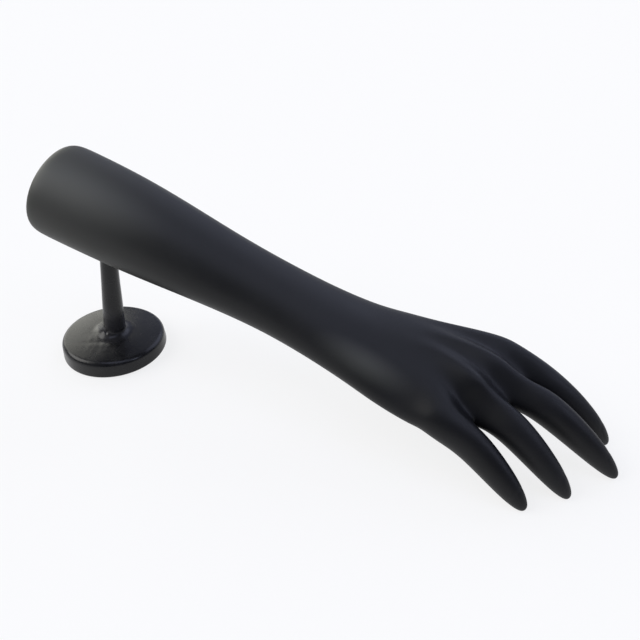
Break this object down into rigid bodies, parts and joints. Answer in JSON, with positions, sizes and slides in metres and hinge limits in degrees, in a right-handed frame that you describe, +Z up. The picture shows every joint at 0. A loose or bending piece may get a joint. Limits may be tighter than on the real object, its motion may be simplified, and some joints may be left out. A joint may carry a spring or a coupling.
{
  "type": "hand jewelry stand",
  "caption": "Life-size black forearm and hand that rests on its fingertips and on a post with a round base, to display rings, bracelets and watches.",
  "frame": {"origin": "middle of the underside of the pad under the round base, on the surface the stand rests on", "axes": "+X along the forearm from the elbow to the fingertips, +Y to the thumb's side, +Z up"},
  "size_m": [0.4198, 0.1186, 0.1648],
  "materials": {
    "arm_black": "matte black, lightly hazed",
    "plug_black": "matte black",
    "anchor_resin": "raw cast resin",
    "insert_brass": "machined",
    "pedestal_black": "satin black, slightly uneven casting",
    "fixing_steel": "zinc plated",
    "pad_felt": "black felt"
  },
  "bodies": {
    "root": {"arm_casting": "arm_black", "elbow_plug": "plug_black", "anchor_block": "anchor_resin", "threaded_insert": "insert_brass", "pedestal_casting": "pedestal_black", "tie_rod": "fixing_steel", "clamp_washer": "fixing_steel", "clamp_nut": "fixing_steel", "base_pad": "pad_felt"}
  },
  "joints": []
}
